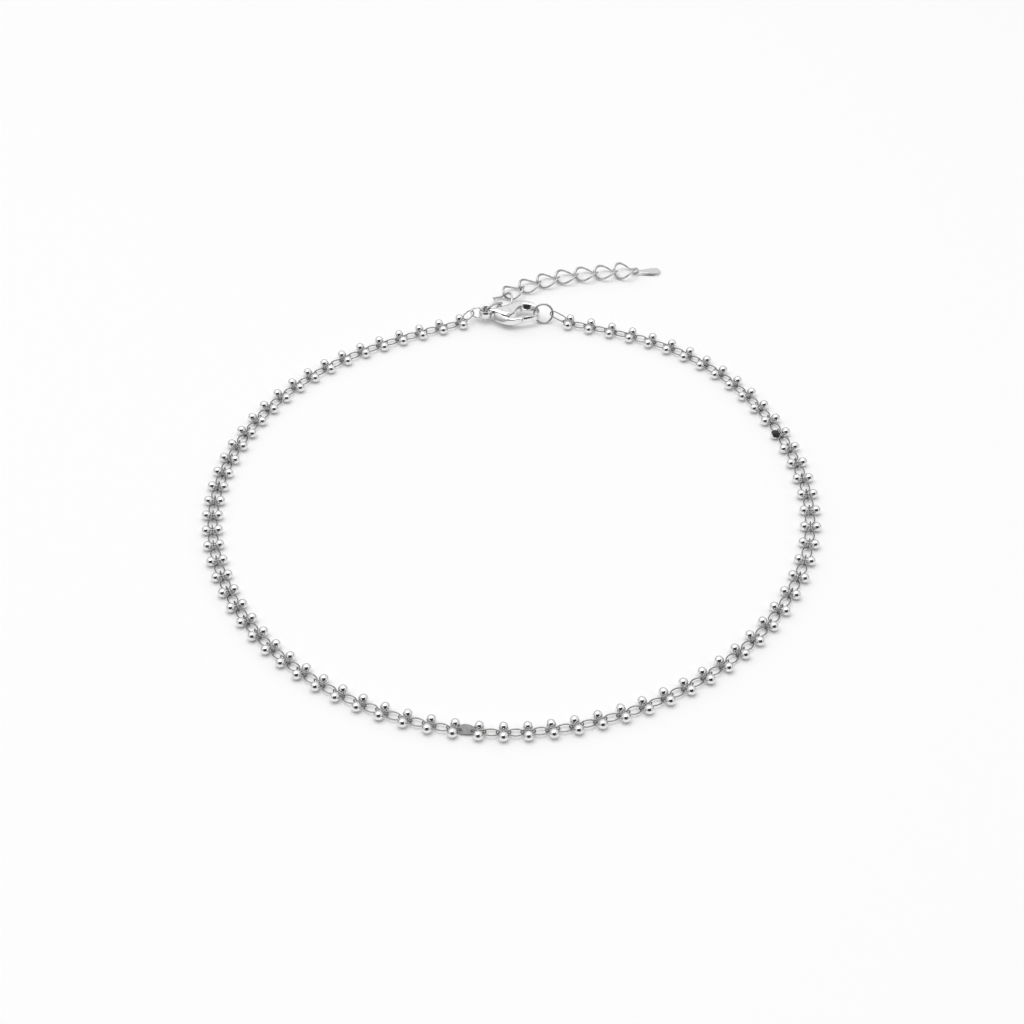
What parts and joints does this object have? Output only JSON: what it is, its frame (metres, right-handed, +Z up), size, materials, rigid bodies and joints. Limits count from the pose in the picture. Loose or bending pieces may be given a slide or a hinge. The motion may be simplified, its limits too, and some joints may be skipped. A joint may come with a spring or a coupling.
{
  "type": "choker necklace",
  "caption": "Fine silver-coloured choker chain with pairs of small balls along it, a lobster clasp and a short extender chain with a flat tag, lying as a closed ring.",
  "frame": {"origin": "middle of the bounding box at the surface that the necklace lies on", "axes": "+Z up from the surface; +Y from the front of the loop to the clasp and the extender; +X to the viewer's right"},
  "size_m": [0.1142, 0.1354, 0.0037],
  "materials": {
    "bright_silver": "bright polished silver plate",
    "dull_silver": "duller silver plate",
    "plate_grey": "grey, satin, slightly domed"
  },
  "bodies": {
    "necklace": {"beaded_chain_left": "bright_silver", "beaded_chain_right": "bright_silver", "plate_link": "plate_grey", "clasp_ring": "bright_silver", "clasp_body": "bright_silver", "clasp_pin": "dull_silver", "jump_ring": "bright_silver", "extender_link_1": "bright_silver", "extender_link_2": "bright_silver", "extender_link_3": "bright_silver", "extender_link_4": "bright_silver", "extender_link_5": "bright_silver", "extender_link_6": "bright_silver", "extender_link_7": "bright_silver", "extender_link_8": "bright_silver", "extender_ring": "bright_silver", "end_tag": "bright_silver"},
    "lever": {"clasp_lever": "bright_silver"}
  },
  "joints": [
    {"name": "lever_hinge", "type": "hinge", "parent": "necklace", "child": "lever", "pos_m": [-0.00063, 0.04853, 0.0018], "axis": [0, 0, 1], "range_deg": [0, 22], "stiffness_Nm_per_rad": 0.002, "springref_deg": -20.05}
  ]
}
